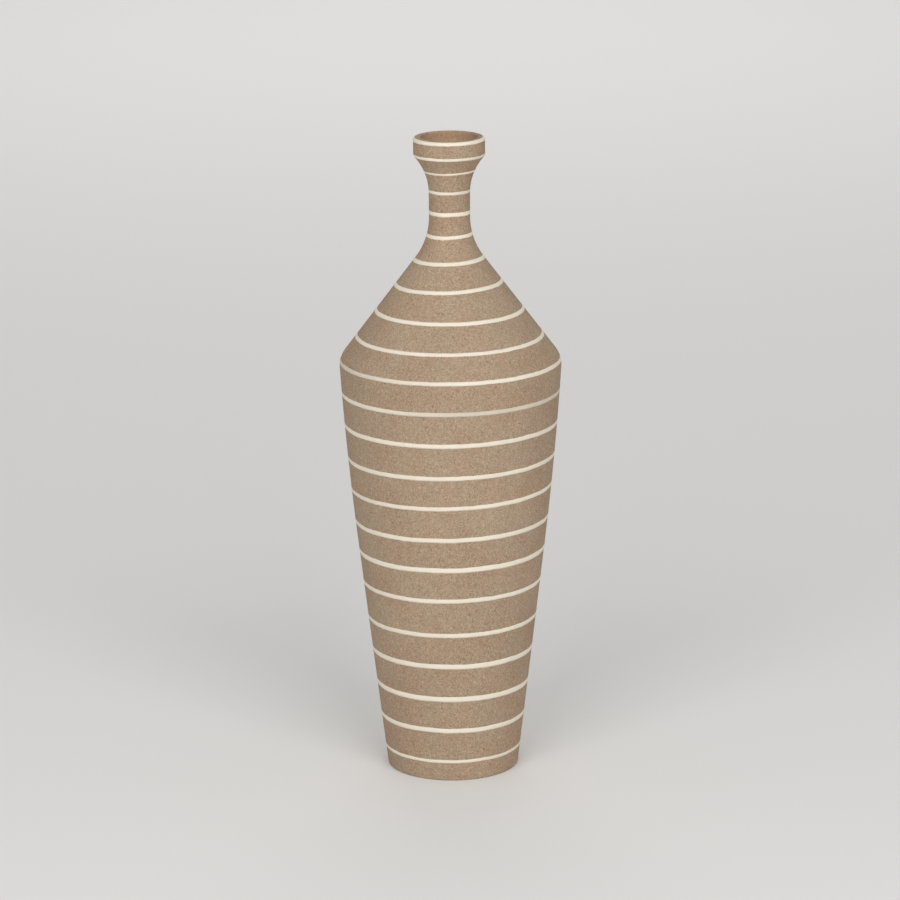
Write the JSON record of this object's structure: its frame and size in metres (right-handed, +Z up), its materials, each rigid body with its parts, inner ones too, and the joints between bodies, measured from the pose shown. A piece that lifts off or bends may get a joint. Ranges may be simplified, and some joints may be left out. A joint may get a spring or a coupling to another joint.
{
  "type": "bottle vase",
  "caption": "Tall stoneware bottle vase with a tapering body, steep shoulder, slim neck and cup-shaped collar, ringed by fine raised slip lines.",
  "frame": {"origin": "centre of the foot, on the surface that the vase stands on", "axes": "+Z up the axis of the vase, from the foot to the lip; +X is to the right and -Y is towards the viewer of the picture"},
  "size_m": [0.0994, 0.0994, 0.29],
  "materials": {
    "stoneware": "matte, sandy",
    "cream_slip": "matte"
  },
  "bodies": {
    "root": {"vase_body": "stoneware", "slip_lines": "cream_slip"}
  },
  "joints": []
}
